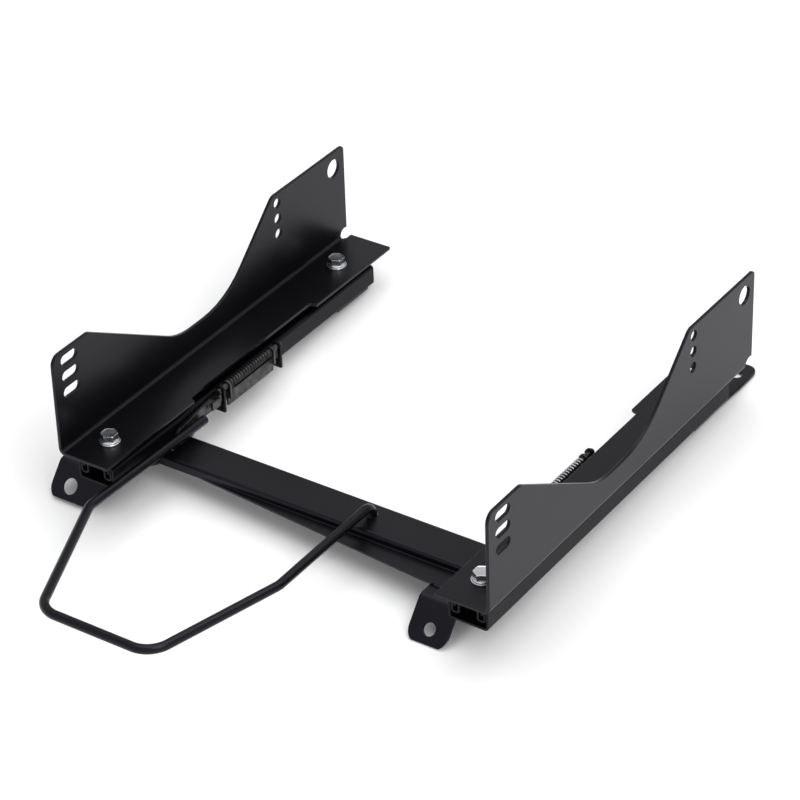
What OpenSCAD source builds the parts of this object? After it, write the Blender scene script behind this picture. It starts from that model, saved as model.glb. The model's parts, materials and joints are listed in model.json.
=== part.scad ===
// Seat slide rail with side brackets, release lever and a lock on each rail.
// Sizes are in millimetres. X runs across the seat, Y towards the rear, Z up.
// The origin lies midway between the two rear floor holes, on the underside of the rear feet.

/* [Side brackets] */
// Distance between the outer faces of the two brackets
bracket_spacing = 410; // [390:1:450]
// Length of a bracket
bracket_len = 404; // [390:1:430]
// Height of the ears above the flange
ear_h = 89; // [84:1:110]
// Height of the valley between the ears
valley_h = 22.5; // [18:0.5:32]
// Length of the front ear's top edge
front_ear_len = 46; // [42:1:56]
// Length of the rear ear's top edge
rear_ear_len = 106; // [98:1:112]
// Length along the rail of the front ear's slope
front_slope_len = 114.5; // [100:0.5:124]
// Length along the rail of the rear ear's slope
rear_slope_len = 71.5; // [62:0.5:76]
// Sheet thickness of the brackets
sheet_t = 3; // [2.5:0.5:4]
// Width of the flange that lies on the rail
flange_w = 49; // [45:0.5:51]
// Depth of the flange's cut beside the latch
flange_cut = 6.5; // [3:0.5:10]
// Distance from the bracket's front edge to the flange's cut
flange_cut_start = 119; // [100:1:130]
// Length of the flange's cut
flange_cut_len = 170; // [140:1:180]

/* [Seat holes] */
// Diameter of the seat bolt holes, and width of the slots
seat_hole_d = 9; // [8.5:0.5:11]
// Length of the front slots
seat_slot_len = 20; // [16:1:24]
// Height between neighbouring holes
seat_hole_pitch = 15; // [14:0.5:17]
// Drop of the top hole below the ear's top edge
seat_hole_drop = 9.2; // [8:0.2:12]
// Distance of the slots' centre from the front edge
slot_inset = 20; // [17:0.5:24]
// Distance of the round holes from the rear edge
round_hole_inset = 100; // [90:1:106]
// Diameter of the belt anchor hole
anchor_hole_d = 17; // [13:0.5:18]
// Distance of the anchor hole from the rear edge
anchor_hole_inset = 16.5; // [14:0.5:22]
// Drop of the anchor hole below the ear's top edge
anchor_hole_drop = 15.8; // [13:0.2:20]

/* [Slide rails] */
// Distance between the rails' centre lines
rail_spacing = 356; // [350:1:362]
// Length of the rails
rail_len = 371; // [350:1:390]
// Shift of the rails towards the rear
rail_shift = -4.5; // [-8:0.5:8]
// Width of the lower rail
rail_w = 36; // [36:0.5:40]
// Height from the lower rail's bottom to the bracket's flange
rail_h = 26; // [26:0.5:30]
// Height of the lower rail
lower_h = 19; // [19:0.25:19.5]
// Sheet thickness of the rails
rail_t = 2; // [1.8:0.1:2.2]
// Width of the upper rail's hat
hat_w = 19; // [18.5:0.5:19.5]
// Diameter of the balls
ball_d = 4.4; // [4:0.1:4.6]
// Number of balls in a row
ball_count = 8; // [4:1:12]
// Distance between neighbouring balls
ball_pitch = 34; // [10:1:34]
// Travel of the seat to the front and to the rear
travel = 80; // [50:10:80]

/* [Bolts] */
// Thread diameter of the bracket bolts
bolt_d = 8; // [6:1:8]
// Distance of the front bolt from the bracket's front edge
front_bolt_inset = 32; // [28:1:45]
// Distance of the rear bolt from the bracket's rear edge
rear_bolt_inset = 51; // [40:1:60]

/* [Base] */
// Depth of the cross member, front to rear
cross_w = 37; // [34:1:44]
// Height of the cross member
cross_h = 9; // [8:0.5:12]
// Sheet thickness of the cross member
cross_t = 2; // [1.5:0.5:3]
// Distance from the rails' front end to the cross member's front
cross_inset = 58.5; // [50:0.5:64]
// Depth of the cross member's front flange beside the right foot
apron_w = 21; // [16:1:26]
// Thickness of the feet
foot_t = 3; // [2.5:0.5:4]
// Width of a front foot
foot_w = 36; // [32:1:42]
// Length of the left front foot's sloping tab
foot_slope_len = 31; // [28:1:38]
// Extra length of the right front foot's tab
right_foot_extra = 4; // [0:0.5:6]
// Slope of the front feet
foot_angle = 50; // [35:1:60]
// Distance of the left front foot's hole from its bend
foot_hole_at = 20; // [18:0.5:22]
// Diameter of the right front and the rear floor holes
floor_hole_d = 11; // [9:0.5:13]
// Diameter of the left front floor hole
wide_floor_hole_d = 14; // [11:0.5:16]
// Distance between the two front floor holes
front_floor_spacing = 354; // [340:1:360]
// Distance between the two rear floor holes
rear_floor_spacing = 400; // [390:1:406]
// Shift of the left holes outside the left rail's centre line
left_hole_shift = 40; // [34:1:46]
// Distance of the rear floor holes behind the rails' rear end
rear_hole_reach = 38; // [35:1:45]

/* [Latch] */
// Distance between neighbouring lock notches
notch_pitch = 10; // [10:1:12]
// Length of a lock notch
notch_len = 6; // [6:0.25:7]
// Number of teeth on a pawl
tooth_count = 4; // [2:1:4]
// Distance from the cross member's rear to the pawl's middle
latch_inset = 81.5; // [76.5:0.5:94.5]
// Diameter of the pawl pins
pin_d = 5; // [4:0.5:5]
// Wire diameter of the pawl springs
wire_d = 1; // [0.8:0.1:1.2]
// Number of turns of a pawl spring
spring_turns = 16; // [8:1:20]

/* [Lever] */
// Diameter of the lever's rod
rod_d = 8; // [7:0.5:9]
// Diameter of the cross shaft
shaft_d = 8; // [7:0.5:9]
// Reach of the lever in front of the rails
lever_reach = 165; // [130:1:190]
// Width of the lever's front bar
lever_bar_w = 105; // [80:1:120]
// Place of the lever's right leg beside the middle
lever_leg_x = 34.5; // [20:0.5:60]
// Bend radius of the rod's middle
rod_bend = 22; // [16:1:26]

/* [Hidden] */
$fn = 48;

paint = [0.13, 0.13, 0.14];
bare_steel = [0.45, 0.45, 0.47];
zinc = [0.78, 0.79, 0.8];

// Clearances
slide_gap = 0.42;
ball_gap = 0.1;
run_gap = 0.35;
hole_gap = 0.5;
fuse = 0.01;
cut_over = 1;
arc_steps = 6;

// Bracket: u runs from the rail's centre line towards the middle of the seat
rail_x = rail_spacing / 2;
plate_u = rail_x - bracket_spacing / 2;
plate_mid = plate_u + sheet_t / 2;
plate_cut = [plate_u - cut_over, plate_u + sheet_t + cut_over];
front_y = -bracket_len / 2;
rear_y = bracket_len / 2;
bracket_bend = 1.5 * sheet_t;
ear_corner_r = 9;
apex_r = 4;
front_valley_r = 60;
rear_valley_r = 80;
cut_corner_r = 3;
relief_r = 7;
top_hole_z = ear_h - seat_hole_drop;
slot_y = front_y + slot_inset;
round_hole_y = rear_y - round_hole_inset;
anchor_y = rear_y - anchor_hole_inset;
anchor_z = ear_h - anchor_hole_drop;
seat_hole_count = 3;

// Rail section, from the bracket's flange downwards
web_z = -sheet_t;
bottom_z = web_z - rail_h;
floor_z = bottom_z + rail_t;
lip_z = bottom_z + lower_h;
ball_z = floor_z + ball_gap + ball_d / 2;
skid_z = ball_z + ball_d / 2 + ball_gap;
wall_u = rail_w / 2;
hook_u = wall_u - rail_t - slide_gap;
lip_u = hook_u - rail_t - slide_gap;
hook_gap = 1;
hook_z = lip_z - rail_t - hook_gap;
lip_drop = 6;
rail_bend = 1.2 * rail_t;
lip_bend = 0.8 * rail_bend;
ball_inset = 1.2;
ball_u = wall_u - rail_t - ball_d / 2 - ball_inset;
cage_rim = 0.8;
cage_w = ball_d + 2 * cage_rim;
cage_t = 0.9;
cage_end = 12;
cage_len = (ball_count - 1) * ball_pitch + 2 * cage_end;
rail_front = -rail_len / 2 + rail_shift;
rail_rear = rail_len / 2 + rail_shift;

// Bracket bolts
bolt_ys = [front_y + front_bolt_inset, rear_y - rear_bolt_inset];
bolt_hole_gap = 1;
bolt_hole_d = bolt_d + bolt_hole_gap;
washer_t = 1.6;
washer_d = 2.2 * bolt_d;
flange_rim = 2;
flange_u = max(plate_u + flange_w, washer_d / 2 + flange_rim);
head_flange_d = 2 * bolt_d;
head_flange_t = 1.6;
head_h = 0.7 * bolt_d;
head_af = 1.6 * bolt_d;
nut_h = 0.8 * bolt_d;
bolt_tip = 2;
thread_gap = 0.2;

// Base
cross_front = rail_front + cross_inset;
cross_rear = cross_front + cross_w;
cross_z = bottom_z - cross_t / 2;
apron_z = bottom_z - cross_h + cross_t / 2;
cross_bend = 2;
left_hole_x = -rail_x - left_hole_shift;
cross_left = left_hole_x - foot_w / 2;
cross_end_inset = 10;
cross_right = rail_x + wall_u - cross_end_inset;
apron_lead = [40, 26];
right_front_x = left_hole_x + front_floor_spacing;
apron_x = [wall_u - rail_x + apron_lead[0], right_front_x - apron_lead[1]];
foot_top_z = apron_z - cross_t / 2;
foot_flat = 13;
foot_bend_y = cross_front - apron_w - foot_flat;
foot_bend_r = 6;
foot_corner_r = 9;
foot_lap = 2;
foot_flare = 26;
foot_flare_drop = 2;
foot_flare_r = 4;
rear_hole_y = rail_rear + rear_hole_reach;
right_rear_x = left_hole_x + rear_floor_spacing;
rear_ear_half = 12.2;
rear_ear_end = 18;
rear_pad_len = 52;
rear_pad_w = 30;
rear_pad_end = 4;
rear_ear_neck = [22, 16];
rear_foot_r = [6, 8, 4];
rear_ear_corner_r = 9;
rivet_d = 6;
rivet_head_d = 10;
rivet_head_h = 1.4;
front_rivet_inset = 9;
front_rivet_ys = [cross_front + front_rivet_inset, cross_rear - front_rivet_inset];
rear_rivet_insets = [44, 18];
rear_rivet_ys = [for (inset = rear_rivet_insets) rail_rear - inset];
floor_mid_x = left_hole_x + rear_floor_spacing / 2;
feet_z = bottom_z - foot_t;

// Latch: a pawl hangs from a pin beside the lower rail and its teeth pass through windows in the wall
latch_y = cross_rear + latch_inset;
pin_offset = 6;
pin_u = wall_u + pin_offset;
knuckle_wall = 1.7;
knuckle_r = pin_d / 2 + knuckle_wall;
pin_z = web_z - run_gap - knuckle_r;
pawl_len = 64;
pawl_t = 2;
pawl_offset = 3.2;
pawl_u = wall_u + pawl_offset;
pawl_drops = [0.4, 9.5];
pawl_top = pin_z - knuckle_r - pawl_drops[0];
pawl_bottom = lip_z - pawl_drops[1];
ear_t = 2.5;
skirt_t = 2;
skirt_lap = 5;
skirt_foot = 2;
skirt_bottom = bottom_z + skirt_foot;
tooth_w = 5;
tooth_drops = [8.4, 6];
tooth_z = [lip_z - tooth_drops[0], lip_z - tooth_drops[1]];
tooth_gap = 0.4;
tooth_tip_u = hook_u + tooth_gap;
notch_floor_gap = 0.6;
notch_bottom = tooth_z[0] - notch_floor_gap;
tooth_ys = [for (i = [0 : tooth_count - 1]) latch_y + (i - (tooth_count - 1) / 2) * notch_pitch];
notch_count = 2 * floor(travel / notch_pitch) + tooth_count;
window_gaps = [1, 1, 3.2];
window_len = tooth_w + 2 * window_gaps[0];
window_z = [tooth_z[0] - window_gaps[1], tooth_z[1] + window_gaps[2]];
lug_t = 2.5;
lug_gap = 8;
lug_room = [2, 1.2, 1];
lug_foot = 1;
lug_ys = [latch_y - pawl_len / 2 - lug_gap, latch_y + pawl_len / 2 + lug_gap];
pin_end = 4;
cam_len = 10;
cam_offset = 6.5;
cam_u = wall_u + cam_offset;
jog_t = 2;
jog_gap = 3.5;
jog_y = lug_ys[0] - lug_t / 2 - jog_gap;
coil_gap = 0.3;
coil_r = pin_d / 2 + coil_gap + wire_d / 2;
coil_end_gap = 2;
coil_len = pawl_len - 2 * ear_t - 2 * coil_end_gap;
spring_leg = 5;
coil_sides = 6;
coil_steps = 12;

// Lever: the rod, the shaft and the two arms turn about one axis under the cross member
pivot_inset = 13.5;
pivot_y = cross_rear - pivot_inset;
shaft_top_gap = 1;
pivot_z = bottom_z - cross_t - shaft_top_gap - shaft_d / 2;
rod_rise = 16.5;
rod_z = pivot_z + rod_rise;
bar_y = rail_front - lever_reach;
arm_t = 3;
hanger_t = 3;
arm_offset = 1.5;
arm_u = wall_u + arm_offset;
leg_gap = 1.05;
leg_u = arm_u + arm_t + leg_gap + rod_d / 2;
left_leg_x = -rail_x + leg_u;
knee_gap = 1;
knee_reach = [38, 45];
left_knee = [-rail_x + wall_u + rod_d / 2 + knee_gap, rail_front - knee_reach[0]];
right_knee_y = rail_front - knee_reach[1];
bar_shift = 8;
bar_mid_x = (left_leg_x + lever_leg_x) / 2 + bar_shift;
leg_tail = 14;
leg_end_y = cross_rear + leg_tail;
dip_lead = 3;
dip_y = pivot_y - dip_lead;
dip_bend = 10;
dip_dir = unit([pivot_y - dip_y, pivot_z - rod_z]);
rod_sides = 16;
hub_wall = 4;
hub_r = shaft_d / 2 + hub_wall;
nose_len = 10;
nose_jog_gap = 2.2;
nose_rear = jog_y - jog_t / 2 - nose_jog_gap;
nose_over = [1.5, 1];
nose_z = [pawl_bottom - nose_over[0], pawl_top + nose_over[1]];
nose_slope = 0.29;
nose_gap = 0.45;
arm_w = 9;
arm_front = 4;
arm_top_drop = 1;
arm_taper = 2;
arm_corner_r = [6, 3, 4];
arm_slot_front = 12;
arm_slot_gap = 1;
shaft_end_x = rail_x - arm_u;
hanger_inset = 38.5;
hanger_xs = [hanger_inset - shaft_end_x, -hanger_t / 2, shaft_end_x - hanger_inset - hanger_t];
hanger_wall = 4;
hanger_r = shaft_d / 2 + hanger_wall;
leg_slot_gap = 0.8;
leg_slot = [rod_d + 2 * leg_slot_gap, 1.4 * rod_d];
leg_slot_rear = 0.53 * rod_d;

// Outline helpers

function unit(v) = v / norm(v);
function xy(p) = [p[0], p[1]];
function cross2(a, b) = a[0] * b[1] - a[1] * b[0];

// Points of the arc that rounds corner b between a and c
function arc(a, b, c, r) =
    let (p = unit(a - b), q = unit(c - b), half = acos(p * q) / 2, sweep = 180 - 2 * half)
    let (centre = b + unit(p + q) * r / sin(half))
    let (start = b + p * r / tan(half) - centre, end = b + q * r / tan(half) - centre)
    [for (i = [0 : arc_steps]) let (t = i / arc_steps)
        centre + (sin(sweep * (1 - t)) * start + sin(sweep * t) * end) / sin(sweep)];

// A corner [x, y, radius] of a list, as one point or as the points of its arc
function corner(pts, i, n) =
    let (r = len(pts[i]) > 2 ? pts[i][2] : 0)
    r > 0 ? arc(xy(pts[(i + n - 1) % n]), xy(pts[i]), xy(pts[(i + 1) % n]), r) : [xy(pts[i])];

// Closed outline with rounded corners
function outline(pts) = [for (i = [0 : len(pts) - 1]) each corner(pts, i, len(pts))];

// Open path moved sideways by h, with its bend radii changed to match
function moved(path, h) = [for (i = [0 : len(path) - 1])
    let (b = xy(path[i]), last = len(path) - 1)
    let (d0 = i > 0 ? unit(b - xy(path[i - 1])) : unit(xy(path[1]) - b))
    let (d1 = i < last ? unit(xy(path[i + 1]) - b) : d0)
    let (n = unit([-d0[1] - d1[1], d0[0] + d1[0]]), bend = sign(cross2(d0, d1)))
    let (m = b + n * h / (n * [-d0[1], d0[0]]))
    [m[0], m[1], len(path[i]) > 2 ? path[i][2] - h * bend : 0]];

// Open path in space through corners [x, y, z, bend radius]
function xyz(p) = [p[0], p[1], p[2]];
function rounded_path(pts) = [for (i = [0 : len(pts) - 1])
    each pts[i][3] > 0 ? arc(xyz(pts[i - 1]), xyz(pts[i]), xyz(pts[i + 1]), pts[i][3]) : [xyz(pts[i])]];

function reversed(v) = [for (i = [len(v) - 1 : -1 : 0]) v[i]];

// Folded sheet of thickness t along an open path
module sheet(path, t) polygon(outline(concat(moved(path, t / 2), reversed(moved(path, -t / 2)))));

// Placing helpers

module row() translate([-floor_mid_x, -rear_hole_y, -feet_z]) children();
module left() translate([-rail_x, 0, 0]) children();
module right() mirror([1, 0, 0]) left() children();

// A section drawn in X and Z, drawn out along Y from one place to another
module along_y(from, to)
    translate([0, to, 0]) rotate([90, 0, 0]) linear_extrude(to - from) children();

// A side view drawn in Y and Z, drawn out along X from one place to another
module along_x(from, to)
    translate([from, 0, 0]) rotate([90, 0, 90]) linear_extrude(to - from) children();

// Cylinders along an axis from one place to another
module bore_x(d, y, z, from, to)
    translate([from, y, z]) rotate([0, 90, 0]) cylinder(d = d, h = to - from);
module bore_y(d, x, z, from, to)
    translate([x, to, z]) rotate([90, 0, 0]) cylinder(d = d, h = to - from);
module bore_z(d, x, y, from, to) translate([x, y, from]) cylinder(d = d, h = to - from);

// Slide rails

module lower_section() {
    inner = lip_u - rail_t / 2;
    outer = wall_u - rail_t / 2;
    top = lip_z - rail_t / 2;
    foot = bottom_z + rail_t / 2;
    sheet([[-inner, lip_z - lip_drop], [-inner, top, lip_bend], [-outer, top, lip_bend],
        [-outer, foot, rail_bend], [outer, foot, rail_bend], [outer, top, lip_bend],
        [inner, top, lip_bend], [inner, lip_z - lip_drop]], rail_t);
}

module upper_section() {
    hook = hook_u - rail_t / 2;
    side = hat_w / 2 - rail_t / 2;
    skid = skid_z + rail_t / 2;
    top = web_z - rail_t / 2;
    sheet([[-hook, hook_z], [-hook, skid, lip_bend], [-side, skid, lip_bend],
        [-side, top, rail_bend], [side, top, rail_bend], [side, skid, lip_bend],
        [hook, skid, lip_bend], [hook, hook_z]], rail_t);
}

module lower_rail() difference() {
    along_y(rail_front, rail_rear) lower_section();
    for (y = tooth_ys)
        translate([wall_u - 2 * rail_t, y - window_len / 2, window_z[0]])
            cube([3 * rail_t, window_len, window_z[1] - window_z[0]]);
    for (y = concat(front_rivet_ys, rear_rivet_ys))
        bore_z(rivet_d, 0, y, bottom_z - cut_over, floor_z + cut_over);
}

// The rack is a row of notches, open at the top, in the inner hook of the upper rail
module upper_rail() difference() {
    along_y(rail_front, rail_rear) upper_section();
    for (i = [0 : notch_count - 1]) {
        y = latch_y + (i - (notch_count - 1) / 2) * notch_pitch;
        translate([lip_u - slide_gap, y - notch_len / 2, notch_bottom])
            cube([hook_u - lip_u + 2 * slide_gap, notch_len, hook_z - notch_bottom + cut_over]);
    }
    for (y = bolt_ys) bore_z(bolt_hole_d, 0, y, web_z - 2 * rail_t, web_z + cut_over);
}

module ball_rows() for (side = [-1, 1], i = [0 : ball_count - 1])
    translate([side * ball_u, rail_shift + (i - (ball_count - 1) / 2) * ball_pitch, ball_z]) children();

module balls() ball_rows() sphere(d = ball_d);

module ball_cages() difference() {
    for (side = [-1, 1])
        translate([side * ball_u - cage_w / 2, rail_shift - cage_len / 2, ball_z - cage_t / 2])
            cube([cage_w, cage_len, cage_t]);
    ball_rows() cylinder(d = ball_d + hole_gap, h = 2 * ball_d, center = true);
}

// Side brackets and their bolts

module bracket_side_view() polygon(outline([
    [front_y, -2 * sheet_t], [front_y, ear_h, ear_corner_r],
    [front_y + front_ear_len, ear_h, ear_corner_r],
    [front_y + front_ear_len + front_slope_len, valley_h, front_valley_r],
    [rear_y - rear_ear_len - rear_slope_len, valley_h, rear_valley_r],
    [rear_y - rear_ear_len, ear_h, ear_corner_r], [rear_y, ear_h, apex_r], [rear_y, -2 * sheet_t]]));

module side_bracket() difference() {
    intersection() {
        along_y(front_y - cut_over, rear_y + cut_over)
            sheet([[plate_mid, ear_h + cut_over], [plate_mid, -sheet_t / 2, bracket_bend],
                [flange_u, -sheet_t / 2]], sheet_t);
        along_x(plate_u - cut_over, flange_u + cut_over) bracket_side_view();
    }
    translate([0, 0, -2 * sheet_t]) linear_extrude(4 * sheet_t) flange_cut_plan();
    for (i = [0 : seat_hole_count - 1]) {
        z = top_hole_z - i * seat_hole_pitch;
        bore_x(seat_hole_d, round_hole_y, z, plate_cut[0], plate_cut[1]);
        seat_slot(z);
    }
    bore_x(anchor_hole_d, anchor_y, anchor_z, plate_cut[0], plate_cut[1]);
    for (y = bolt_ys) bore_z(bolt_hole_d, 0, y, -2 * sheet_t, sheet_t);
    bore_x(2 * relief_r, rear_y - relief_r / 2, 0, plate_cut[0], plate_u + relief_r);
}

module flange_cut_plan() {
    start = front_y + flange_cut_start;
    end = start + flange_cut_len;
    inner = flange_u - flange_cut;
    edge = flange_u + cut_over;
    polygon(outline([[edge, start - cut_corner_r], [inner, start, cut_corner_r],
        [inner, end, cut_corner_r], [edge, end + cut_corner_r]]));
}

module seat_slot(z) {
    half = (seat_slot_len - seat_hole_d) / 2;
    for (end = [-half, half]) bore_x(seat_hole_d, slot_y + end, z, plate_cut[0], plate_cut[1]);
    translate([plate_cut[0], slot_y - half, z - seat_hole_d / 2])
        cube([plate_cut[1] - plate_cut[0], 2 * half, seat_hole_d]);
}

module bolts() for (y = bolt_ys) translate([0, y, washer_t]) {
    cylinder(d = head_flange_d, h = head_flange_t);
    translate([0, 0, head_flange_t]) cylinder(d = head_af / cos(30), h = head_h, $fn = 6);
    shank = washer_t + sheet_t + rail_t + nut_h + bolt_tip;
    translate([0, 0, -shank]) cylinder(d = bolt_d, h = shank);
}

module washers() for (y = bolt_ys) difference() {
    bore_z(washer_d, 0, y, 0, washer_t);
    bore_z(bolt_d + hole_gap, 0, y, -cut_over, washer_t + cut_over);
}

module weld_nuts() for (y = bolt_ys) difference() {
    translate([0, y, web_z - rail_t - nut_h])
        rotate([0, 0, 30])
            cylinder(d = head_af / cos(30), h = nut_h, $fn = 6);
    bore_z(bolt_d + thread_gap, 0, y, web_z - rail_t - nut_h - cut_over, web_z);
}

// Base

module cross_side_view() sheet([[cross_rear - cross_t / 2, bottom_z - cross_h],
    [cross_rear - cross_t / 2, cross_z, cross_bend], [cross_front + cross_t / 2, cross_z, cross_bend],
    [cross_front + cross_t / 2, apron_z, cross_bend], [cross_front - apron_w, apron_z]], cross_t);

// The front flange runs out to nothing beside the lever and is full at both feet
module cross_plan() polygon([
    [cross_left, cross_rear + cut_over], [cross_left, cross_front - apron_w],
    [cross_left + foot_w + foot_flare, cross_front - apron_w],
    [-rail_x + wall_u, cross_front], [apron_x[0], cross_front],
    [apron_x[1], cross_front - apron_w], [cross_right, cross_front - apron_w],
    [cross_right, cross_rear + cut_over]]);

module cross_member_shape() difference() {
    intersection() {
        along_x(cross_left, cross_right) cross_side_view();
        translate([0, 0, bottom_z - 2 * cross_h]) linear_extrude(3 * cross_h) cross_plan();
    }
    leg_slot_cut();
    for (x = [-shaft_end_x, shaft_end_x - arm_t])
        translate([x - arm_slot_gap, pivot_y - arm_slot_front, bottom_z - 2 * cross_h])
            cube([arm_t + 2 * arm_slot_gap, cross_w, 3 * cross_h]);
    for (side = [-1, 1], y = front_rivet_ys)
        bore_z(rivet_d, side * rail_x, y, bottom_z - 2 * cross_t, bottom_z + cut_over);
}

// Slot with round ends for the lever's right leg
module leg_slot_cut() {
    half = leg_slot[0] / 2;
    rear = pivot_y + leg_slot_rear;
    ends = [rear - leg_slot[1] + half, rear - half];
    for (y = ends) bore_z(2 * half, lever_leg_x, y, bottom_z - 2 * cross_t, bottom_z + cut_over);
    translate([lever_leg_x - half, ends[0], bottom_z - 2 * cross_t])
        cube([2 * half, ends[1] - ends[0], 2 * cross_t + cut_over]);
}

// Front foot about its own middle, with any flare towards positive X
module front_foot(hole_d, extra, flare) {
    slope = [-cos(foot_angle), -sin(foot_angle)];
    bend = [foot_bend_y, foot_top_z];
    tip = bend + (foot_slope_len + extra) * slope;
    hole = bend + (foot_hole_at + extra) * slope;
    half = foot_w / 2;
    wide = half + flare;
    mid_z = foot_top_z - foot_t / 2;
    low = tip[1] - foot_t / 2;
    top = foot_top_z + cut_over;
    flare_z = foot_top_z - foot_t - foot_flare_drop;
    flare_pts = flare > 0 ? [[wide, flare_z, foot_flare_r], [wide, top]] : [[half, top]];
    difference() {
        intersection() {
            along_x(-half, wide)
                sheet([[cross_front - foot_lap, mid_z], [foot_bend_y, mid_z, foot_bend_r],
                    [tip[0], low]], foot_t);
            along_y(tip[0] - foot_t, cross_front)
                polygon(outline(concat([[-half, top], [-half, low, foot_corner_r],
                    [half, low, foot_corner_r]], flare_pts)));
        }
        translate([0, hole[0], hole[1]])
            rotate([foot_angle, 0, 0])
                cylinder(d = hole_d, h = 4 * foot_t, center = true);
    }
}

// Rear foot: a flat plate under the rail with an ear for the floor hole
module rear_foot(mid_x, hole_x) {
    half = rear_pad_w / 2;
    pad_front = rail_rear - rear_pad_len;
    tip = rear_hole_y + rear_ear_end;
    ear = [hole_x - rear_ear_half, hole_x + rear_ear_half];
    hole_z = [feet_z - cut_over, feet_z + foot_t + cut_over];
    difference() {
        translate([0, 0, feet_z])
            linear_extrude(foot_t)
                polygon(outline([[mid_x + half, pad_front], [mid_x - half, pad_front, rear_foot_r[0]],
                    [ear[0], rear_hole_y - rear_ear_neck[0], rear_foot_r[1]],
                    [ear[0], tip, rear_ear_corner_r], [ear[1], tip, rear_ear_corner_r],
                    [ear[1], rear_hole_y - rear_ear_neck[1], rear_foot_r[1]],
                    [mid_x + half, rail_rear - rear_pad_end, rear_foot_r[2]]]));
        bore_z(floor_hole_d, hole_x, rear_hole_y, hole_z[0], hole_z[1]);
        for (y = rear_rivet_ys) bore_z(rivet_d, mid_x, y, hole_z[0], hole_z[1]);
    }
}

module rivet(y, under) {
    bore_z(rivet_d, 0, y, bottom_z - under, floor_z);
    bore_z(rivet_head_d, 0, y, floor_z, floor_z + rivet_head_h);
    bore_z(rivet_head_d, 0, y, bottom_z - under - rivet_head_h, bottom_z - under);
}

module rail_rivets() {
    for (y = front_rivet_ys) rivet(y, cross_t);
    for (y = rear_rivet_ys) rivet(y, foot_t);
}

// Hangers that carry the cross shaft, flat where they meet the cross member
module hanger_side_view() difference() {
    translate([pivot_y, pivot_z]) circle(r = hanger_r);
    translate([pivot_y, pivot_z]) circle(d = shaft_d + hole_gap);
    translate([pivot_y - hanger_r, bottom_z - cross_t]) square(2 * hanger_r);
}

module shaft_hangers_shape() for (x = hanger_xs) along_x(x, x + hanger_t) hanger_side_view();

// Latch

// Lug in the XZ plane: a hook that carries the pin and leaves room for the pawl's plate
module lug_section() difference() {
    union() {
        translate([wall_u, bottom_z + lug_foot])
            square([pin_u + knuckle_r - wall_u, pin_z - bottom_z - lug_foot]);
        translate([pin_u, pin_z]) circle(r = knuckle_r);
    }
    translate([pin_u, pin_z]) circle(d = pin_d);
    translate([wall_u - cut_over, pawl_bottom - lug_room[1]])
        square([pawl_u + pawl_t + lug_room[0] - wall_u + cut_over,
            pawl_top - pawl_bottom + lug_room[1] + lug_room[2]]);
    translate([wall_u - cut_over, pawl_top]) square([pin_u - knuckle_r - wall_u + cut_over, 3 * knuckle_r]);
}

module pin_lugs() for (y = lug_ys) along_y(y - lug_t / 2, y + lug_t / 2) lug_section();

module pawl_pin() bore_y(pin_d, pin_u, pin_z, lug_ys[0] - pin_end, lug_ys[1] + pin_end);

module pawl_ear() difference() {
    union() {
        translate([pin_u, pin_z]) circle(r = knuckle_r);
        translate([pawl_u, pawl_bottom]) square([pin_u + knuckle_r - pawl_u, pin_z - pawl_bottom]);
    }
    translate([pin_u, pin_z]) circle(d = pin_d + hole_gap);
}

module lock_pawl() {
    front = latch_y - pawl_len / 2;
    rear = latch_y + pawl_len / 2;
    height = pawl_top - pawl_bottom;
    along_y(front, front + ear_t) pawl_ear();
    along_y(rear - ear_t, rear) pawl_ear();
    translate([pawl_u, jog_y - jog_t / 2, pawl_bottom]) cube([pawl_t, rear - jog_y + jog_t / 2, height]);
    translate([pawl_u + pawl_t - fuse, front, skirt_bottom])
        cube([skirt_t + fuse, pawl_len, pawl_bottom + skirt_lap - skirt_bottom]);
    for (y = tooth_ys)
        translate([tooth_tip_u, y - tooth_w / 2, tooth_z[0]])
            cube([pawl_u - tooth_tip_u + fuse, tooth_w, tooth_z[1] - tooth_z[0]]);
    translate([pawl_u, jog_y - jog_t / 2, pawl_bottom]) cube([cam_u + pawl_t - pawl_u, jog_t, height]);
    translate([cam_u, jog_y - cam_len, pawl_bottom]) cube([pawl_t, cam_len, height]);
}

// Coil spring about the pin, with a straight leg down behind the pawl
function coil_point(t) =
    let (turn = 360 * t * spring_turns)
    [coil_r * cos(turn), coil_len * (t - 0.5), coil_r * sin(turn)];

module pawl_spring() {
    n = spring_turns * coil_steps;
    leg = [coil_r, -coil_len / 2, -knuckle_r - spring_leg];
    translate([pin_u, latch_y, pin_z])
        swept(concat([leg], [for (i = [0 : n]) coil_point(i / n)]), wire_d, coil_sides, [0, 1, 0]);
}

// Round wire or rod along a list of points in space, none of it in line with up
module swept(path, d, sides, up) {
    n = len(path);
    rings = [for (i = [0 : n - 1])
        let (dir = unit(path[min(i + 1, n - 1)] - path[max(i - 1, 0)]))
        let (side = unit(cross(dir, up)), top = cross(side, dir))
        for (k = [0 : sides - 1])
            path[i] + d / 2 * (cos(360 * k / sides) * side + sin(360 * k / sides) * top)];
    walls = [for (i = [0 : n - 2], k = [0 : sides - 1])
        let (a = i * sides + k, b = i * sides + (k + 1) % sides) [a, b, b + sides, a + sides]];
    ends = [[for (k = [sides - 1 : -1 : 0]) k], [for (k = [0 : sides - 1]) (n - 1) * sides + k]];
    polyhedron(rings, concat(walls, ends));
}

// Lever

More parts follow.
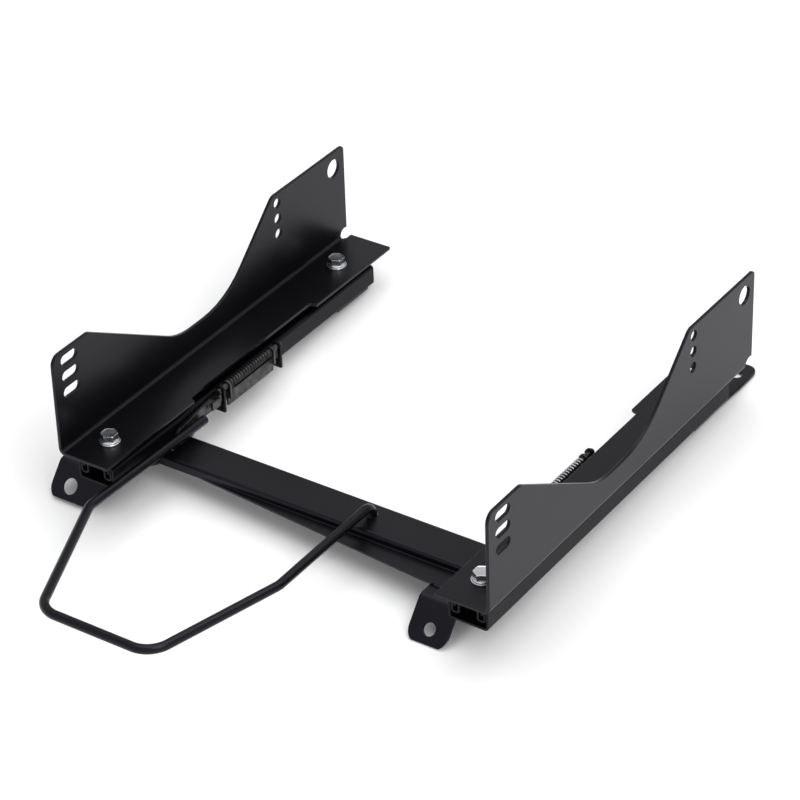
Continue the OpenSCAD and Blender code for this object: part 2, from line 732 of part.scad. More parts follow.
module lever_rod_shape() swept(rounded_path([
    [left_leg_x, leg_end_y, rod_z, 0], [left_knee[0], left_knee[1], rod_z, rod_bend],
    [bar_mid_x - lever_bar_w / 2, bar_y, rod_z, rod_bend],
    [bar_mid_x + lever_bar_w / 2, bar_y, rod_z, rod_bend],
    [lever_leg_x, right_knee_y, rod_z, rod_bend], [lever_leg_x, dip_y, rod_z, dip_bend],
    [lever_leg_x, pivot_y - shaft_d / 2 * dip_dir[0], pivot_z - shaft_d / 2 * dip_dir[1], 0]]),
    rod_d, rod_sides, [0, 0, 1]);

module cross_shaft_shape() bore_x(shaft_d, pivot_y, pivot_z, -shaft_end_x, shaft_end_x);

// Release arm: a plate from the shaft to a wedge that stands between the rail and the pawl's cam
module release_arm() {
    difference() {
        union() {
            along_x(arm_u, arm_u + arm_t) arm_side_view();
            intersection() {
                along_y(nose_rear - nose_len, nose_rear) nose_section();
                along_x(arm_u, cam_u + pawl_t) arm_side_view();
            }
        }
        bore_x(shaft_d, pivot_y, pivot_z, arm_u - cut_over, arm_u + arm_t + cut_over);
    }
}

module arm_side_view() {
    polygon(outline([[pivot_y - arm_front, pivot_z],
        [pivot_y - arm_front, rod_z + rod_d / 2 - arm_top_drop, arm_corner_r[0]],
        [nose_rear, nose_z[1], arm_corner_r[1]], [nose_rear, nose_z[0], arm_corner_r[1]],
        [nose_rear - nose_len - arm_taper, nose_z[0], arm_corner_r[2]], [pivot_y + arm_w, pivot_z]]));
    translate([pivot_y, pivot_z]) circle(r = hub_r);
}

module nose_section() {
    face = cam_u - nose_gap;
    polygon([[arm_u, nose_z[0]], [face - nose_slope * (pawl_top - nose_z[0]), nose_z[0]],
        [face + nose_slope * (nose_z[1] - pawl_top), nose_z[1]], [arm_u, nose_z[1]]]);
}

// Sub-parts

module left_lower_rail() color(paint) row() left() lower_rail();
module right_lower_rail() color(paint) row() right() lower_rail();
module cross_member() color(paint) row() cross_member_shape();
module left_front_foot() color(paint) row() translate([left_hole_x, 0, 0])
    front_foot(wide_floor_hole_d, 0, foot_flare);
module right_front_foot() color(paint) row() translate([right_front_x, 0, 0])
    front_foot(floor_hole_d, right_foot_extra, 0);
module left_rear_foot() color(paint) row() rear_foot(-rail_x, left_hole_x);
module right_rear_foot() color(paint) row() rear_foot(rail_x, right_rear_x);
module shaft_hangers() color(paint) row() shaft_hangers_shape();
module base_rivets() color(paint) row() {
    left() rail_rivets();
    right() rail_rivets();
}
module left_pin_lugs() color(paint) row() left() pin_lugs();
module right_pin_lugs() color(paint) row() right() pin_lugs();
module left_pawl_pin() color(bare_steel) row() left() pawl_pin();
module right_pawl_pin() color(bare_steel) row() right() pawl_pin();
module left_pawl_spring() color(bare_steel) row() left() pawl_spring();
module right_pawl_spring() color(zinc) row() right() pawl_spring();
module left_upper_rail() color(paint) row() left() upper_rail();
module right_upper_rail() color(paint) row() right() upper_rail();
module left_side_bracket() color(paint) row() left() side_bracket();
module right_side_bracket() color(paint) row() right() side_bracket();
module left_bolts() color(zinc) row() left() bolts();
module right_bolts() color(zinc) row() right() bolts();
module left_washers() color(zinc) row() left() washers();
module right_washers() color(zinc) row() right() washers();
module left_weld_nuts() color(bare_steel) row() left() weld_nuts();
module right_weld_nuts() color(bare_steel) row() right() weld_nuts();
module left_ball_cages() color(bare_steel) row() left() ball_cages();
module right_ball_cages() color(bare_steel) row() right() ball_cages();
module left_balls() color(zinc) row() left() balls();
module right_balls() color(zinc) row() right() balls();
module lever_rod() color(paint) row() lever_rod_shape();
module cross_shaft() color(bare_steel) row() cross_shaft_shape();
module left_release_arm() color(bare_steel) row() left() release_arm();
module right_release_arm() color(bare_steel) row() right() release_arm();
module left_lock_pawl() color(bare_steel) row() left() lock_pawl();
module right_lock_pawl() color(bare_steel) row() right() lock_pawl();

left_lower_rail();
right_lower_rail();
cross_member();
left_front_foot();
right_front_foot();
left_rear_foot();
right_rear_foot();
shaft_hangers();
base_rivets();
left_pin_lugs();
right_pin_lugs();
left_pawl_pin();
right_pawl_pin();
left_pawl_spring();
right_pawl_spring();
left_upper_rail();
right_upper_rail();
left_side_bracket();
right_side_bracket();
left_bolts();
right_bolts();
left_washers();
right_washers();
left_weld_nuts();
right_weld_nuts();
left_ball_cages();
right_ball_cages();
left_balls();
right_balls();
lever_rod();
cross_shaft();
left_release_arm();
right_release_arm();
left_lock_pawl();
right_lock_pawl();
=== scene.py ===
# %% [markdown]
# # Dressing a seat slide rail
# The solids of this seat slide rail are already right: two pressed side brackets on ball slides, a cross
# member, four floor feet, a bent release lever and a lock on each rail. This lesson gives them the look of
# the real thing: baked black paint on sheet metal with softened edges, bright zinc bolts, coiled wire, a
# smoothly bent rod and the weld beads that hold the feet. Nothing here changes the size of the part.

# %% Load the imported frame
import json
import random
from math import cos, degrees, pi, radians, sin, tan

import bmesh
import bpy
from mathutils import Matrix, Vector


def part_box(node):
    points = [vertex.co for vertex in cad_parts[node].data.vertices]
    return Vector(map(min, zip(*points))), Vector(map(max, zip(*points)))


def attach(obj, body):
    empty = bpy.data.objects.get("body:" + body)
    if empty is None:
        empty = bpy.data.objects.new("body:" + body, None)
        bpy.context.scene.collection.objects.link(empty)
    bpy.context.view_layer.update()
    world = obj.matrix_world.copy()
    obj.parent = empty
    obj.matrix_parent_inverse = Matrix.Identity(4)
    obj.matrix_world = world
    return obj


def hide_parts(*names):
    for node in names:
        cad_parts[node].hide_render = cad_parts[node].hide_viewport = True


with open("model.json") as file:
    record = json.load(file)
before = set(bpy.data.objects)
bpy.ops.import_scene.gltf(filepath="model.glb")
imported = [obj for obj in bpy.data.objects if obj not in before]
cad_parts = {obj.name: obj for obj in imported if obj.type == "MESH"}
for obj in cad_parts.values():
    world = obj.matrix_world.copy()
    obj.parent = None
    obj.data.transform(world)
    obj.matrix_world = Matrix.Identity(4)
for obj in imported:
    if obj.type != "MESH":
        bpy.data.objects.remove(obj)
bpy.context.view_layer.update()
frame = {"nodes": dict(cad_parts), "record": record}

MM = 0.001
node_body = {node: body for body, nodes in frame["record"]["behaviour"]["bodies"].items() for node in nodes}
node_slot = {row["node"]: row["material_slot"] for row in frame["record"]["subparts"]}

# %% [markdown]
# ## Camera
# The view of the picture was worked out from the parallel edges of the rails: a long lens, looking down from
# the front right. A camera needs three axes, and writing them into a matrix is exact, where aiming it with a
# constraint would lose the slight roll of the picture.

# %% Camera
azimuth = radians(34.856)
elevation = radians(33.403)
roll = radians(-1.927)
eye = Vector((1.2731, -2.0358, 1.4942))

away = Vector((sin(azimuth) * cos(elevation), -cos(azimuth) * cos(elevation), sin(elevation)))
level = Vector((cos(azimuth), sin(azimuth), 0))
upward = away.cross(level)
across = cos(roll) * level + sin(roll) * upward
upright = away.cross(across)

lens = bpy.data.cameras.new("photo_lens")
lens.sensor_fit = "HORIZONTAL"
lens.sensor_width = 36
lens.lens = 146.1
camera = bpy.data.objects.new("photo_camera", lens)
camera.matrix_world = Matrix.Translation(eye) @ Matrix((across, upright, away)).transposed().to_4x4()
bpy.context.scene.collection.objects.link(camera)
bpy.context.scene.camera = camera
print("camera at", [round(value, 3) for value in eye])

# %% [markdown]
# ## A small language for materials
# A material is a graph of nodes, and a graph is hard to read as a list of links. One class wraps a socket, so
# that sums of sockets read as sums, and one method adds any other node from its type, its settings and the
# values or links of its sockets.


# %% Sockets and finishes
class Socket:
    """An output socket; arithmetic on it adds Math nodes."""

    def __init__(self, finish, socket):
        self.finish = finish
        self.socket = socket

    def math(self, operation, first, second):
        return self.finish.node("ShaderNodeMath", {"operation": operation}, {0: first, 1: second})

    def __add__(self, other):
        return self.math("ADD", self, other)

    def __radd__(self, other):
        return self.math("ADD", other, self)

    def __sub__(self, other):
        return self.math("SUBTRACT", self, other)

    def __rsub__(self, other):
        return self.math("SUBTRACT", other, self)

    def __mul__(self, other):
        return self.math("MULTIPLY", self, other)

    def __rmul__(self, other):
        return self.math("MULTIPLY", other, self)


class Finish:
    """A node tree that is filled one node at a time."""

    def __init__(self, owner):
        owner.use_nodes = True
        self.tree = owner.node_tree
        self.tree.nodes.clear()

    def node(self, kind, settings, sockets, output=0):
        made = self.tree.nodes.new(kind)
        for key, value in settings.items():
            if key == "stops":
                for stop, (place, colour) in zip(made.color_ramp.elements, value):
                    stop.position = place
                    stop.color = colour
            else:
                setattr(made, key, value)
        for key, value in sockets.items():
            if isinstance(value, Socket):
                self.tree.links.new(value.socket, made.inputs[key])
            else:
                made.inputs[key].default_value = value
        return Socket(self, made.outputs[output]) if made.outputs else None

    def noise(self, place, scale, detail):
        return self.node("ShaderNodeTexNoise", {}, {"Vector": place, "Scale": scale, "Detail": detail})

    def blend(self, share, first, second):
        return self.node("ShaderNodeMix", {"data_type": "RGBA"}, {0: share, 6: first, 7: second}, 2)

    def band(self, value, low, high):
        return self.node("ShaderNodeMapRange", {}, {"Value": value, "From Min": low, "From Max": high})


# %% [markdown]
# ## Finishes
# Baked black paint is never one flat black. It lies a little thicker here and thinner there, its skin has a
# fine ripple, and a trace of dust settles on it. The rails are dipped, which leaves them duller than the sprayed
# brackets. Zinc plating is bright, with a cloudy grain, and the working parts are dark oiled steel. All of them
# are made from noise in Object coordinates, which stays put on the metal. What a black part shows is mostly what
# it mirrors, so the strength of the mirror image is set apart for each paint and leans a little to blue.

# %% Colours of the paints and metals
BLACK_THICK = (0.0010, 0.0010, 0.0013, 1)
BLACK_THIN = (0.0024, 0.0023, 0.0030, 1)
DUST = (0.020, 0.020, 0.024, 1)
COOL_MIRROR = (0.84, 0.82, 1.0, 1)
ZINC_BRIGHT = (0.80, 0.81, 0.83, 1)
ZINC_CLOUDY = (0.56, 0.57, 0.59, 1)
WIRE_BRIGHT = (0.60, 0.60, 0.62, 1)
WIRE_DULL = (0.36, 0.36, 0.37, 1)
STEEL_LIGHT = (0.095, 0.095, 0.10, 1)
STEEL_OILED = (0.040, 0.039, 0.038, 1)
print("darkest paint:", BLACK_THICK[:3], "brightest metal:", ZINC_BRIGHT[:3])

# %% Black paint
CLOUD_BAND = (0.3, 0.7)
CLOUD_DETAIL = 4
FINE_DETAIL = 2
PAINT_CLOUDS = 14
PAINT_RIPPLES = 900
RIPPLE_SHOW = 0.09
RIPPLE_DEPTH = 0.05 * MM
DUST_SPECKS = 520
SPECK_BAND = (0.64, 0.84)
SPECK_COVER = 0.22
SPECK_DULLS = 0.12
THICK_GLOSS = 0.05


def painted(material, dullness, mirror):
    """Black paint over sheet metal; dullness is its roughness and mirror the strength of its mirror image."""
    paint = Finish(material)
    place = paint.node("ShaderNodeTexCoord", {}, {}, "Object")
    cloud = paint.band(paint.noise(place, PAINT_CLOUDS, CLOUD_DETAIL), *CLOUD_BAND)
    specks = paint.band(paint.noise(place, DUST_SPECKS, FINE_DETAIL), *SPECK_BAND)
    ripple = paint.noise(place, PAINT_RIPPLES, FINE_DETAIL)
    film = paint.blend(cloud, BLACK_THICK, BLACK_THIN)
    colour = paint.blend(SPECK_COVER * specks, film, DUST)
    rough = dullness + SPECK_DULLS * specks - THICK_GLOSS * (1 - cloud)
    bump = paint.node("ShaderNodeBump", {}, {
        "Strength": RIPPLE_SHOW, "Distance": RIPPLE_DEPTH, "Height": ripple})
    skin = paint.node("ShaderNodeBsdfPrincipled", {}, {
        "Base Color": colour, "Roughness": rough, "Specular IOR Level": mirror, "Specular Tint": COOL_MIRROR,
        "Normal": bump})
    paint.node("ShaderNodeOutputMaterial", {}, {"Surface": skin})


# %% Plated and bare steel
STEEL_CLOUDS = 130
STEEL_GRAIN = 1500
GRAIN_SHOW = 0.12
GRAIN_DEPTH = 0.04 * MM


def metallic(material, bright, dull, low, high):
    """Bare or plated steel that clouds from one colour, and from one roughness, to another."""
    plate = Finish(material)
    place = plate.node("ShaderNodeTexCoord", {}, {}, "Object")
    cloud = plate.band(plate.noise(place, STEEL_CLOUDS, CLOUD_DETAIL), *CLOUD_BAND)
    grain = plate.noise(place, STEEL_GRAIN, FINE_DETAIL)
    colour = plate.blend(cloud, bright, dull)
    rough = low + cloud * (high - low)
    bump = plate.node("ShaderNodeBump", {}, {
        "Strength": GRAIN_SHOW, "Distance": GRAIN_DEPTH, "Height": grain})
    skin = plate.node("ShaderNodeBsdfPrincipled", {}, {
        "Base Color": colour, "Metallic": 1.0, "Roughness": rough, "Normal": bump})
    plate.node("ShaderNodeOutputMaterial", {}, {"Surface": skin})


# %% Give every solid its finish
finishes = {slot: bpy.data.materials.new(slot) for slot in sorted(set(node_slot.values()))}
painted(finishes["black_paint"], dullness=0.34, mirror=0.26)
painted(finishes["rail_black"], dullness=0.44, mirror=0.14)
metallic(finishes["zinc"], ZINC_BRIGHT, ZINC_CLOUDY, low=0.18, high=0.34)
metallic(finishes["spring_wire"], WIRE_BRIGHT, WIRE_DULL, low=0.22, high=0.36)
metallic(finishes["dark_steel"], STEEL_LIGHT, STEEL_OILED, low=0.36, high=0.5)
for node, solid in frame["nodes"].items():
    solid.data.materials.clear()
    solid.data.materials.append(finishes[node_slot[node]])
print("finishes:", ", ".join(finishes))

# %% [markdown]
# ## Hanging pieces on the frame
# Each piece that is made here rides on the body of the solid that it stands for, takes the same finish, and
# hides that solid. Smooth shading alone would bend the light on broad flat faces, so the normals are weighted
# by the area of the faces.


# %% Finishing a piece
def finish_piece(bm, name, node, stands_for=True):
    """Makes an object of a bmesh, with the body and the finish of a node."""
    mesh = bpy.data.meshes.new(name)
    bm.to_mesh(mesh)
    bm.free()
    for face in mesh.polygons:
        face.use_smooth = True
    mesh.materials.append(finishes[node_slot[node]])
    piece = bpy.data.objects.new(name, mesh)
    bpy.context.scene.collection.objects.link(piece)
    piece.modifiers.new("even_light", "WEIGHTED_NORMAL").keep_sharp = True
    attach(piece, node_body[node])
    if stands_for:
        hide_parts(node)
    return piece


# %% [markdown]
# ## Sheet metal with soft edges
# Pressed sheet has a burr taken off and paint that draws back from every edge, so an edge shows as a thin line
# of light. The solid has sharp edges. A copy of it has its doubled points merged and its flat triangles
# dissolved, and then its sharp edges get a narrow bevel. The operator's own clamp would narrow every bevel of a
# piece to suit its tightest corner, so the clamp is off and the few edges in tight corners are left out instead.

# %% Tools for soft edges
SHARP_ANGLE = radians(32)
FLAT_ANGLE = radians(0.6)
MERGE_GAP = 0.03 * MM
ROUND_PROFILE = 0.5
ROOM_SHARE = 0.5


def has_room(edge, width):
    """Tells whether every edge that meets this one is long enough for a bevel of the given width."""
    return all(near.calc_length() > ROOM_SHARE * width for point in edge.verts for near in point.link_edges)


def bevel_sharp(bm, width):
    """Rounds the sharp edges by a narrow bevel."""
    sharp = [edge for edge in bm.edges if edge.is_manifold and edge.calc_face_angle() > SHARP_ANGLE]
    roomy = [edge for edge in sharp if has_room(edge, width)]
    bmesh.ops.bevel(bm, geom=roomy, offset=width, offset_type="OFFSET", affect="EDGES", segments=2,
                    profile=ROUND_PROFILE, material=-1, clamp_overlap=False)


def soften(node, width):
    """Makes a copy of a solid with soft edges; the width is in millimetres."""
    bm = bmesh.new()
    bm.from_mesh(frame["nodes"][node].data)
    bmesh.ops.remove_doubles(bm, verts=bm.verts, dist=MERGE_GAP)
    bmesh.ops.dissolve_limit(bm, angle_limit=FLAT_ANGLE, verts=bm.verts, edges=bm.edges)
    bevel_sharp(bm, width * MM)
    return finish_piece(bm, node + "_soft", node)


# %% Soften the edges of the pressed pieces
# Widths of the bevels, in millimetres.
soft_edges = {
    "side_bracket": 0.5, "lower_rail": 0.1, "upper_rail": 0.3, "front_foot": 0.5, "rear_foot": 0.5,
    "pin_lugs": 0.3, "release_arm": 0.35, "lock_pawl": 0.25, "cross_member": 0.2, "shaft_hangers": 0.3,
    "washers": 0.25, "cross_shaft": 0.4, "pawl_pin": 0.4,
}
for node in sorted(frame["nodes"]):
    kind = node.removeprefix("left_").removeprefix("right_")
    if kind in soft_edges:
        piece = soften(node, soft_edges[kind])
        print(piece.name, len(piece.data.polygons), "faces")

# %% [markdown]
# ## The lever
# The lever is one length of round bar, bent cold in a former. The solid is a sixteen-sided sweep. Here a ring
# is drawn along each straight and spun round each bend, as the bar was, which keeps the bends truly round. The
# right leg leans on one side of its slot by the slack that it has there, so no light shows past it.

# %% Sizes of the lever
ROD_R = 4 * MM
ROD_Z = 12.5 * MM
BEND_R = 22 * MM
DIP_R = 10 * MM
RING_SIDES = 28
BEND_STEP = radians(5)
END_CHAMFER = 0.7 * MM
SLACK = 0.55 * MM
leg_x = 0.0525 + SLACK
# The place of each corner of the bar, and the radius of the bend there.
lever_corners = [
    ((-0.13245, -0.2995, ROD_Z), 0), ((-0.137, -0.447, ROD_Z), BEND_R), ((-0.084475, -0.574, ROD_Z), BEND_R),
    ((0.020525, -0.574, ROD_Z), BEND_R), ((leg_x, -0.454, ROD_Z), BEND_R),
    ((leg_x, SLACK - 0.33, ROD_Z), DIP_R), ((leg_x, SLACK - 0.327716, -0.000065), 0),
]
print("lever:", len(lever_corners), "corners")


# %% Tools for drawing and bending a bar
def ring_of(geometry):
    """Picks the edges of an open end."""
    return [item for item in geometry if isinstance(item, bmesh.types.BMEdge) and item.is_boundary]


def draw_to(bm, ring, step):
    """Draws an open ring of edges along a straight step."""
    drawn = bmesh.ops.extrude_edge_only(bm, edges=ring)["geom"]
    points = [item for item in drawn if isinstance(item, bmesh.types.BMVert)]
    bmesh.ops.translate(bm, verts=points, vec=step)
    return ring_of(drawn)


def start_ring(bm, place, heading, radius, sides):
    """Adds a ring of edges that faces along a heading."""
    turn = heading.to_track_quat("Z", "Y").to_matrix().to_4x4()
    ring = bmesh.ops.create_circle(bm, segments=sides, radius=radius, matrix=Matrix.Translation(place) @ turn)
    return list(dict.fromkeys(edge for point in ring["verts"] for edge in point.link_edges))


def bent_bar(corners, radius, sides):
    """Draws a round bar along each straight and spins it round each bend."""
    bm = bmesh.new()
    points = [Vector(place) for place, _ in corners]
    here = points[0]
    heading = (points[1] - here).normalized()
    first = ring = start_ring(bm, here, heading, radius, sides)
    for corner in range(1, len(points) - 1):
        onward = (points[corner + 1] - points[corner]).normalized()
        bend = corners[corner][1]
        angle = heading.angle(onward)
        start = points[corner] - heading * bend * tan(angle / 2)
        ring = draw_to(bm, ring, start - here)
        axis = heading.cross(onward).normalized()
        centre = start + axis.cross(heading) * bend
        turned = bmesh.ops.spin(bm, geom=ring, cent=centre, axis=axis, angle=angle,
                                steps=round(angle / BEND_STEP) + 1)
        ring = ring_of(turned["geom_last"])
        here = points[corner] + onward * bend * tan(angle / 2)
        heading = onward
    last = draw_to(bm, ring, points[-1] - here)
    for end in (first, last):
        bmesh.ops.contextual_create(bm, geom=end)
    bevel_sharp(bm, END_CHAMFER)
    bmesh.ops.recalc_face_normals(bm, faces=bm.faces)
    return bm


# %% Bend the lever
lever = finish_piece(bent_bar(lever_corners, ROD_R, RING_SIDES), "lever_bar", "lever_rod")
print("lever bar:", len(lever.data.polygons), "faces")

# %% [markdown]
# ## Coiled springs
# A coil is a ring of wire turned about the pin while it moves along it. The spin operator does both at once,
# because it can add a small shift to each of its steps.

# %% Wind the pawl springs
WIRE_R = 0.5 * MM
COIL_GAP = 0.3 * MM
TURNS = 16
TURN_STEPS = 20
WIRE_SIDES = 10


def wind_spring(side, inward):
    """Winds the spring of one pawl; inward is the direction of the other rail."""
    pin_low, pin_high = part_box(side + "_pawl_pin")
    low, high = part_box(side + "_pawl_spring")
    pin = (pin_low + pin_high) / 2
    coil_r = (pin_high.x - pin_low.x) / 2 + COIL_GAP + WIRE_R
    start_y = low.y + WIRE_R
    length = high.y - low.y - 2 * WIRE_R
    bm = bmesh.new()
    foot = Vector((pin.x + inward * coil_r, start_y, low.z))
    first = start_ring(bm, foot, Vector((0, 0, 1)), WIRE_R, WIRE_SIDES)
    ring = draw_to(bm, first, Vector((0, 0, pin.z - low.z)))
    steps = TURNS * TURN_STEPS
    turned = bmesh.ops.spin(bm, geom=ring, cent=(pin.x, start_y, pin.z), axis=(0, -inward, 0),
                            angle=2 * pi * TURNS, steps=steps, dvec=(0, length / steps, 0))
    for end in (first, ring_of(turned["geom_last"])):
        bmesh.ops.contextual_create(bm, geom=end)
    bmesh.ops.recalc_face_normals(bm, faces=bm.faces)
    return finish_piece(bm, side + "_coil", side + "_pawl_spring")


for side, inward in (("left", 1), ("right", -1)):
    print(wind_spring(side, inward).name)

# %% [markdown]
# ## Flange bolts
# Each bracket is held down by two bolts with a hexagon head on a round flange. The flange and the shank are
# one profile, spun full circle. The head is a six-sided prism whose corners are knocked off, as the forging
# die leaves them, with a shallow dish in the top.

# %% Sizes of a bolt
BOLT_R = 4 * MM
FLANGE_R = 8 * MM
FLANGE_T = 1.6 * MM
FLANGE_SLOPE = 0.35 * MM
HEAD_FLAT = 12.8 * MM
HEAD_H = 5.6 * MM
THREAD_LEAD = 0.8 * MM
BOLT_SIDES = 40
CORNER_CUT = 0.9 * MM
HEAD_EDGE = 0.2 * MM
DISH = 0.5 * MM
DISH_RIM = 1.6 * MM
MICRON_DIGITS = 6
print("bolt: head", round(HEAD_FLAT / MM, 1), "mm across flats, flange", round(2 * FLANGE_R / MM, 1), "mm wide")


# %% Spin and forge a bolt
def spun(bm, profile, place):
    """Spins a profile of (radius, height) points full circle about a vertical line."""
    points = [bm.verts.new(place + Vector((radius, 0, height))) for radius, height in profile]
    edges = [bm.edges.new(pair) for pair in zip(points, points[1:])]
    bmesh.ops.spin(bm, geom=points + edges, cent=place, axis=(0, 0, 1), angle=2 * pi, steps=BOLT_SIDES,
                   use_merge=True)


def flange_bolt(bm, seat, depth):
    """Adds a bolt whose flange lies at the seat and whose shank goes down by the depth."""
    spun(bm, [(0, -depth), (BOLT_R - THREAD_LEAD, -depth), (BOLT_R, THREAD_LEAD - depth), (BOLT_R, 0),
              (FLANGE_R, 0), (FLANGE_R, FLANGE_T / 2), (FLANGE_R - FLANGE_SLOPE, FLANGE_T), (0, FLANGE_T)], seat)
    middle = seat + Vector((0, 0, FLANGE_T + HEAD_H / 2))
    corner_r = HEAD_FLAT / 2 / cos(pi / 6)
    head = bmesh.ops.create_cone(bm, cap_ends=True, segments=6, radius1=corner_r, radius2=corner_r, depth=HEAD_H,
                                 matrix=Matrix.Translation(middle))
    top = [point for point in head["verts"] if point.co.z > middle.z]
    bmesh.ops.bevel(bm, geom=top, offset=CORNER_CUT, offset_type="OFFSET", affect="VERTICES", segments=1,
                    profile=ROUND_PROFILE, material=-1)
    cap = max(bm.faces, key=lambda face: (round(face.calc_center_median().z, MICRON_DIGITS), face.calc_area()))
    bmesh.ops.inset_region(bm, faces=[cap], thickness=DISH_RIM, use_even_offset=True)
    bmesh.ops.translate(bm, verts=cap.verts[:], vec=(0, 0, -DISH))
    bmesh.ops.remove_doubles(bm, verts=bm.verts, dist=MERGE_GAP)
    bmesh.ops.recalc_face_normals(bm, faces=bm.faces)
    bevel_sharp(bm, HEAD_EDGE)


# %% Set two bolts on each bracket
def turn_bolts(side):
    """Makes the front bolt of a bracket and sets a copy of it at the rear."""
    node = side + "_bolts"
    low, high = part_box(node)
    seat = Vector(((low.x + high.x) / 2, low.y + FLANGE_R, high.z - HEAD_H - FLANGE_T))
    bm = bmesh.new()
    flange_bolt(bm, seat, seat.z - low.z)
    copied = bmesh.ops.duplicate(bm, geom=bm.verts[:] + bm.edges[:] + bm.faces[:])["geom"]
    points = [item for item in copied if isinstance(item, bmesh.types.BMVert)]
    bmesh.ops.translate(bm, verts=points, vec=(0, high.y - low.y - 2 * FLANGE_R, 0))
    return finish_piece(bm, side + "_flange_bolts", node)


for side in ("left", "right"):
    print(turn_bolts(side).name)

# %% [markdown]
# ## Rivets
# The rails are riveted down to the cross member and to the rear feet. A set rivet has a low dome at both ends,
# so its profile runs from the lower crown over the shank to the upper crown, and is spun full circle.

# %% Profile of a rivet
RIVET_R = 3 * MM
RIVET_HEAD_R = 5 * MM
RIVET_HEAD_H = 1.4 * MM
FRONT_PITCH = 19 * MM
REAR_PITCH = 26 * MM
RAIL_T = 2 * MM
CROSS_T = 2 * MM
FOOT_T = 3 * MM
DOME_STEPS = 5


def rivet_profile(under):
    """Profile of a rivet through a rail's floor and a sheet of the given thickness under it."""
    turns = [pi / 2 * step / DOME_STEPS for step in range(DOME_STEPS + 1)]
    dome = [(RIVET_HEAD_R * cos(turn), RIVET_HEAD_H * sin(turn)) for turn in turns]
    lower = [(radius, -under - height) for radius, height in reversed(dome)]
    upper = [(radius, RAIL_T + height) for radius, height in dome]
    return lower + [(RIVET_R, -under), (RIVET_R, RAIL_T)] + upper


# %% Set the rivets
def set_rivets():
    """Sets two rivets at the front and two at the rear of each rail."""
    low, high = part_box("base_rivets")
    front = low.y + RIVET_HEAD_R
    rear = high.y - RIVET_HEAD_R
    rail_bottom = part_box("left_lower_rail")[0].z
    bm = bmesh.new()
    for place_x in (low.x + RIVET_HEAD_R, high.x - RIVET_HEAD_R):
        for place_y in (front, front + FRONT_PITCH):
            spun(bm, rivet_profile(CROSS_T), Vector((place_x, place_y, rail_bottom)))
        for place_y in (rear - REAR_PITCH, rear):
            spun(bm, rivet_profile(FOOT_T), Vector((place_x, place_y, rail_bottom)))
    bmesh.ops.remove_doubles(bm, verts=bm.verts, dist=MERGE_GAP)
    bmesh.ops.recalc_face_normals(bm, faces=bm.faces)
    return finish_piece(bm, "domed_rivets", "base_rivets")


print(set_rivets().name)

# %% [markdown]
# ## Weld beads
# The front feet are welded to the edge of the cross member's flange. A weld run is a chain of small overlapping
# pools, so a ring is drawn along the seam in short steps and swells and shrinks on the way, with a little
# chance in each step. The chance is seeded, so every run of this file gives the same bead.

# %% Draw a weld bead
BEAD_R = 1.7 * MM
BEAD_END = 0.5
POOL = 1.5 * MM
POOL_STEPS = 4
FEWEST_POOLS = 3
POOL_FALL = 0.2
POOL_CHANCE = 0.04
BEAD_SIDES = 12
SEAM_INSET = 4 * MM
SEAM_RISE = 0.2 * MM
WELD_SEED = 7
chance = random.Random(WELD_SEED)


def weld_bead(name, start, end, node):
    """Lays a chain of weld pools from start to end, on the body of a node."""
    bm = bmesh.new()
    run = end - start
    count = max(FEWEST_POOLS, round(run.length / POOL)) * POOL_STEPS
    first = ring = start_ring(bm, start, run.normalized(), BEAD_R * BEAD_END, BEAD_SIDES)
    for step in range(1, count + 1):
        ring = draw_to(bm, ring, run / count)
        spots = list(dict.fromkeys(point for edge in ring for point in edge.verts))
        middle = sum((point.co for point in spots), Vector()) / len(spots)
        swell = 1 - POOL_FALL * (step % POOL_STEPS) / POOL_STEPS + chance.uniform(-POOL_CHANCE, POOL_CHANCE)
        if step == count:
            swell = BEAD_END
        radius = (spots[0].co - middle).length
        bmesh.ops.scale(bm, verts=spots, vec=Vector((1, 1, 1)) * (BEAD_R * swell / radius),
                        space=Matrix.Translation(-middle))
    for end_ring in (first, ring):
        bmesh.ops.contextual_create(bm, geom=end_ring)
    bmesh.ops.recalc_face_normals(bm, faces=bm.faces)
    return finish_piece(bm, name, node, stands_for=False)


# %% Lay the weld beads
seam_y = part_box("cross_member")[0].y
for side in ("left", "right"):
    foot_low, foot_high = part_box(side + "_front_foot")
    seam_z = foot_high.z + SEAM_RISE
    bead = weld_bead(side + "_foot_weld", Vector((foot_low.x + SEAM_INSET, seam_y, seam_z)),
                     Vector((foot_high.x - SEAM_INSET, seam_y, seam_z)), side + "_front_foot")
    print(bead.name)

# %% [markdown]
# ## Floor and light
# The part stands on a front toe and its rear feet, so the floor leans a little in this frame. The floor is a
# plain white sheet. A very broad softbox hangs overhead and a smaller one stands at the front right, where the
# bolts catch it. The walls of the room are pale near the floor and dim higher up, which leaves level faces black
# while upright faces mirror the floor.

# %% Floor
FLOOR_SIZE = 8
FLOOR_WHITE = (0.9, 0.9, 0.9, 1)
FLOOR_DULLNESS = 0.9
FLOOR_MIRROR = 0.1
FLOOR_GAP = 0.2 * MM
TOE_INSET = 2 * MM
toe_low = min((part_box(side + "_front_foot")[0] for side in ("left", "right")), key=lambda corner: corner.z)
heel_low, heel_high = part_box("left_rear_foot")
toe = Vector((0, toe_low.y + TOE_INSET, toe_low.z))
heel = Vector((0, heel_high.y, heel_low.z))
lean = (heel - toe).normalized()
leaning = Vector((0, 1, 0)).rotation_difference(lean)

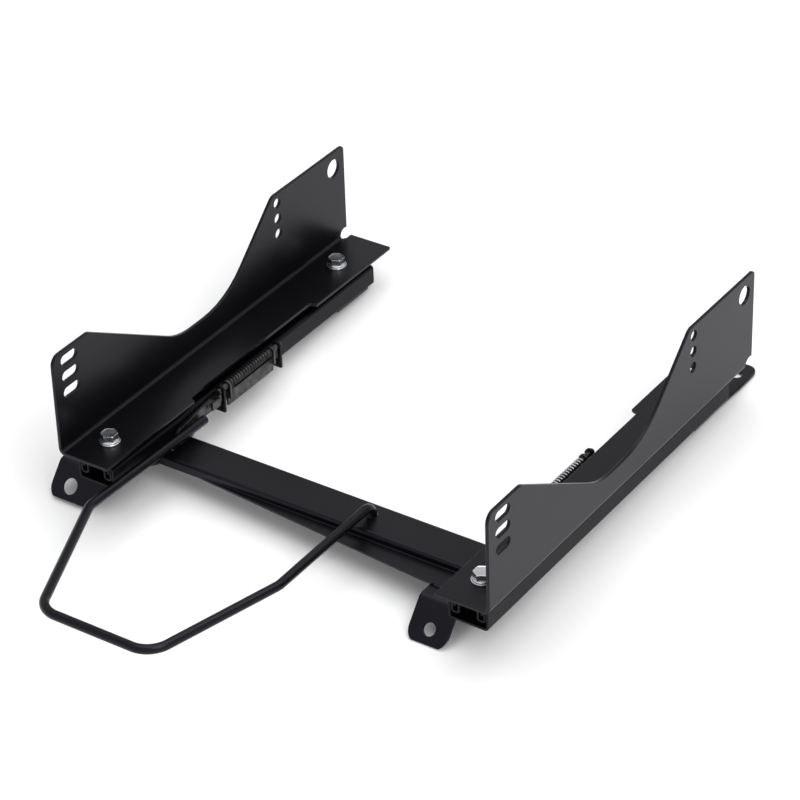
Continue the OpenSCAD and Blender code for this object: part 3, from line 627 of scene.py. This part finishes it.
bm = bmesh.new()
bmesh.ops.create_grid(bm, x_segments=1, y_segments=1, size=FLOOR_SIZE)
bmesh.ops.rotate(bm, verts=bm.verts, cent=(0, 0, 0), matrix=leaning.to_matrix())
bmesh.ops.translate(bm, verts=bm.verts, vec=toe - Vector((0, 0, FLOOR_GAP)))
floor_mesh = bpy.data.meshes.new("floor")
bm.to_mesh(floor_mesh)
bm.free()
floor = bpy.data.objects.new("floor", floor_mesh)
bpy.context.scene.collection.objects.link(floor)
floor_finish = bpy.data.materials.new("pale_floor")
sheet = Finish(floor_finish)
sheet.node("ShaderNodeOutputMaterial", {}, {"Surface": sheet.node("ShaderNodeBsdfPrincipled", {}, {
    "Base Color": FLOOR_WHITE, "Roughness": FLOOR_DULLNESS, "Specular IOR Level": FLOOR_MIRROR})})
floor_mesh.materials.append(floor_finish)
print("floor leans", round(degrees(leaning.angle), 2), "degrees")

# %% Lamps and room
ROOM_LIGHT = 1.0
ROOM_WALLS = (1, 1, 1, 1)
ROOM_CEILING = (0.6, 0.6, 0.61, 1)
WALL_FADE = (0.05, 0.45)
aim = Vector((0.018, -0.22, 0.03))
# The place, the width in metres and the power in watts of each softbox.
softboxes = {
    "overhead": ((0.3, -0.1, 2.6), 3.0, 52),
    "key": ((1.9, -1.3, 2.1), 1.4, 28),
}
for name, (place, size, power) in softboxes.items():
    lamp = bpy.data.lights.new(name, "AREA")
    lamp.shape = "SQUARE"
    lamp.size = size
    lamp.energy = power
    holder = bpy.data.objects.new(name, lamp)
    towards = (aim - Vector(place)).to_track_quat("-Z", "Y")
    holder.matrix_world = Matrix.Translation(place) @ towards.to_matrix().to_4x4()
    bpy.context.scene.collection.objects.link(holder)

world = bpy.data.worlds.new("room")
bpy.context.scene.world = world
room = Finish(world)
direction = room.node("ShaderNodeTexCoord", {}, {}, "Generated")
height = room.node("ShaderNodeSeparateXYZ", {}, {0: direction}, "Z")
walls = room.blend(room.band(height, *WALL_FADE), ROOM_WALLS, ROOM_CEILING)
room.node("ShaderNodeOutputWorld", {}, {"Surface": room.node(
    "ShaderNodeBackground", {}, {"Color": walls, "Strength": ROOM_LIGHT})})
bpy.context.scene.view_settings.view_transform = "Standard"
print("lamps:", ", ".join(softboxes))
